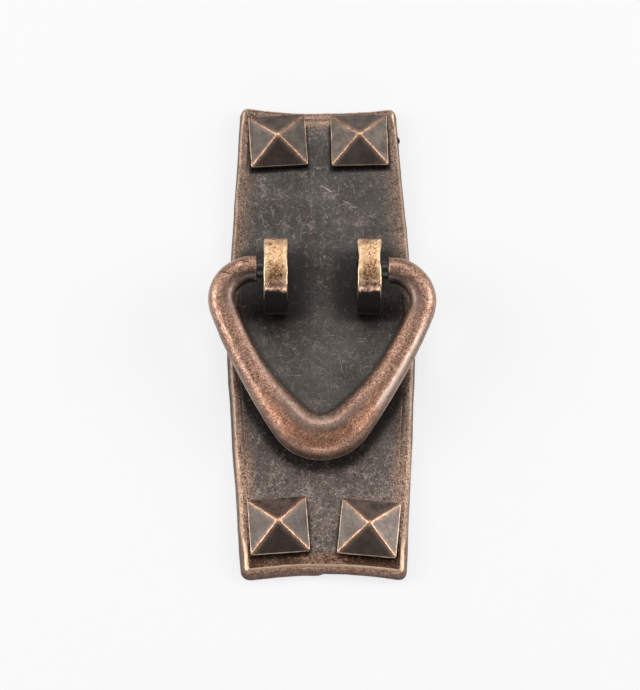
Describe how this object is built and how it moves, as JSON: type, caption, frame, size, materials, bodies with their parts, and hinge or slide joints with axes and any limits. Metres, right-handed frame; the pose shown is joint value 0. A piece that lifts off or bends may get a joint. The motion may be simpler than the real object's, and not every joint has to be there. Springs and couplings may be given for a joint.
{
  "type": "cabinet pull",
  "caption": "Long backplate with pyramid studs and a rounded triangular bail hinged between two posts, in dark bronze with worn copper edges.",
  "frame": {"origin": "middle of the backplate's flat back face", "axes": "+Z out of the backplate's back, through its front; +Y to the upper end, where the bail hangs away from; +X to the right"},
  "size_m": [0.0507, 0.1154, 0.0171],
  "materials": {
    "plate_bronze": "dark oiled bronze, mottled, with worn copper edges",
    "stud_bronze": "smooth dark bronze with bright worn ridges",
    "post_copper": "worn bright copper on the crown, near black on the sides",
    "bail_copper": "satin pinkish copper with brown oiled shading"
  },
  "bodies": {
    "plate": {"backplate": "plate_bronze", "stud_top_left": "stud_bronze", "stud_top_right": "stud_bronze", "stud_bottom_left": "stud_bronze", "stud_bottom_right": "stud_bronze", "post_left": "post_copper", "post_right": "post_copper"},
    "bail": {"bail": "bail_copper"}
  },
  "joints": [
    {"name": "bail_swing", "type": "hinge", "parent": "plate", "child": "bail", "pos_m": [0.0004, 0.0113, 0.013], "axis": [-0.9997, 0.0227, 0], "range_deg": [0, 191]}
  ]
}
